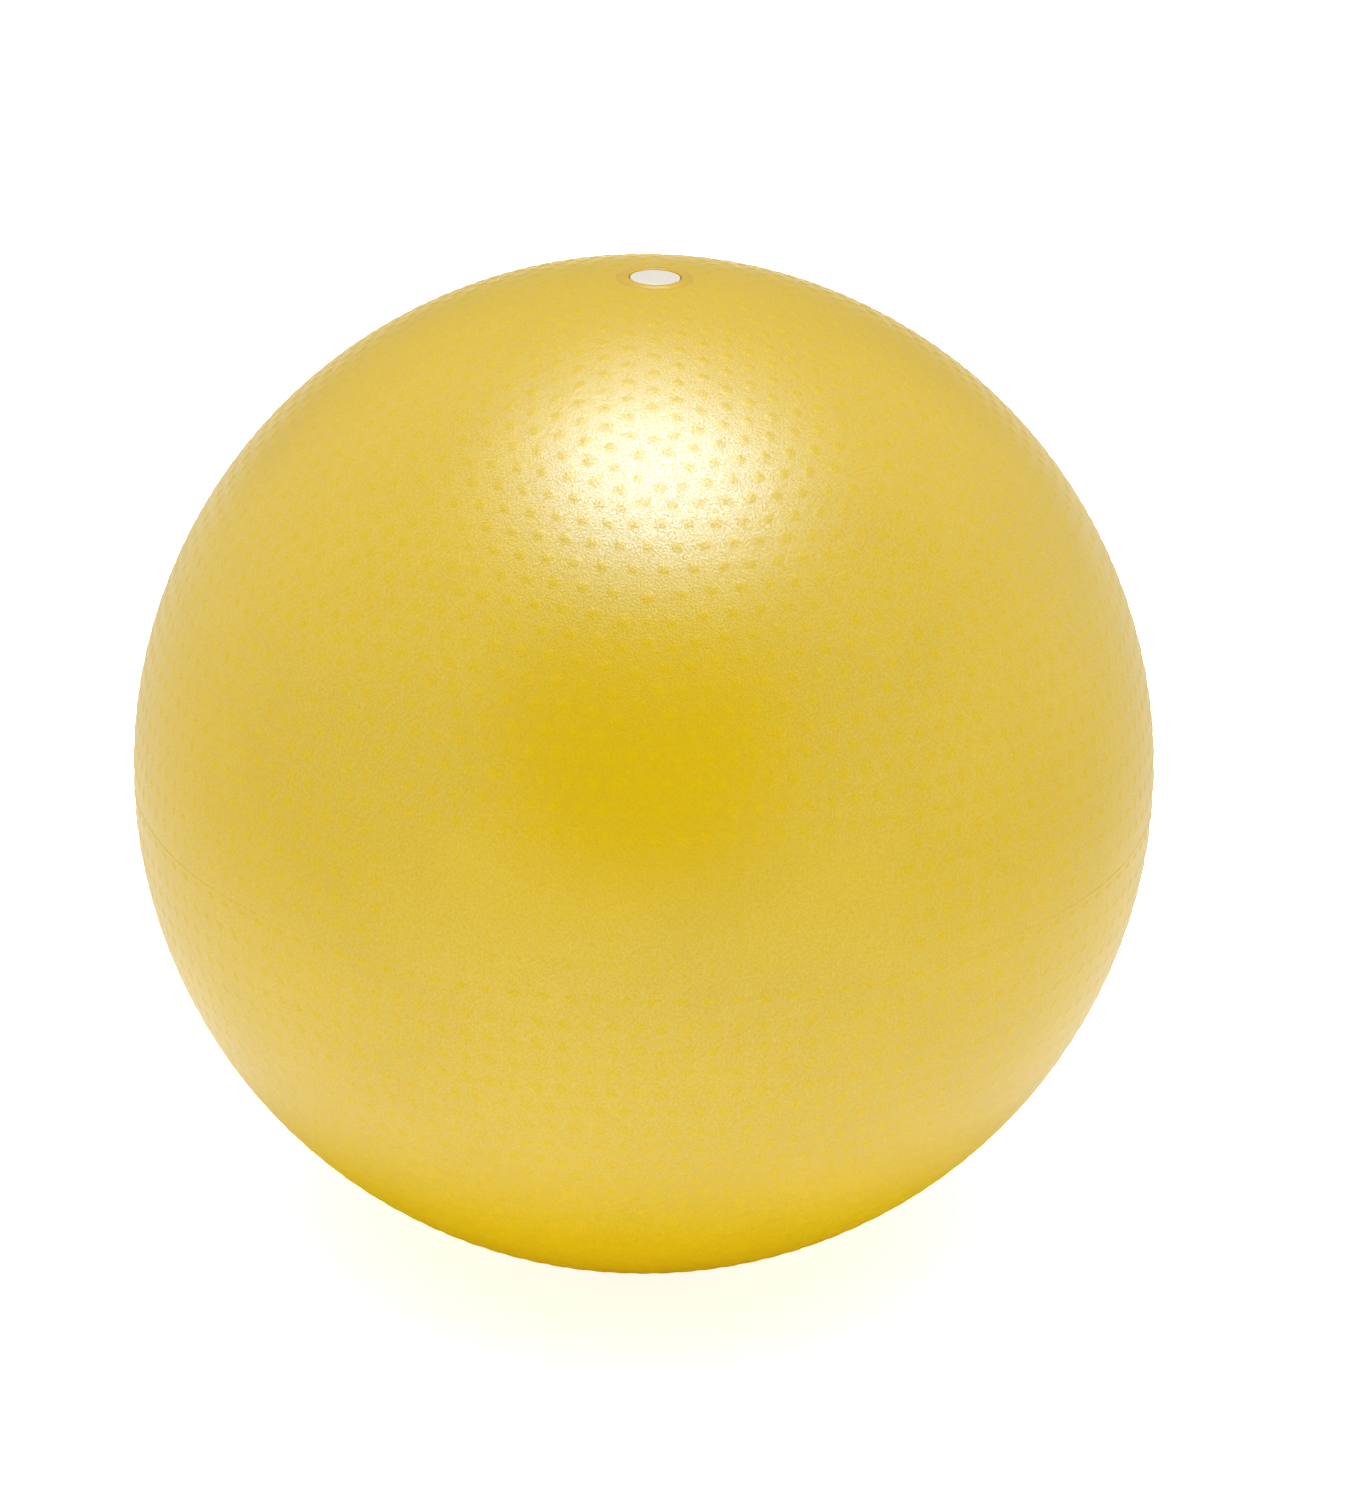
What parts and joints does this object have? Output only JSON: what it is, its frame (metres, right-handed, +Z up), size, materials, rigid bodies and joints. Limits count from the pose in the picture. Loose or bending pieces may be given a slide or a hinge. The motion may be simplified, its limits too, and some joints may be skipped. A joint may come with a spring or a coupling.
{
  "type": "mini pilates ball",
  "caption": "Small soft inflatable exercise ball of yellow dotted vinyl, with a valve seat at its pole closed by a white push-in plug.",
  "frame": {"origin": "middle of the flat patch that the soft ball rests on, on the floor", "axes": "+Z up along the valve's axis, through the ball's centre and the plug; -Y towards the picture's camera"},
  "size_m": [0.2506, 0.2506, 0.2497],
  "materials": {
    "yellow_vinyl": "satin",
    "valve_vinyl": "satin",
    "white_plastic": "satin"
  },
  "bodies": {
    "ball": {"ball_shell": "yellow_vinyl", "valve_seat": "valve_vinyl"},
    "stopper": {"plug": "white_plastic"}
  },
  "joints": [
    {"name": "plug_pull", "type": "slide", "parent": "ball", "child": "stopper", "axis": [0, 0, 1], "range_m": [0, 0.03]}
  ]
}
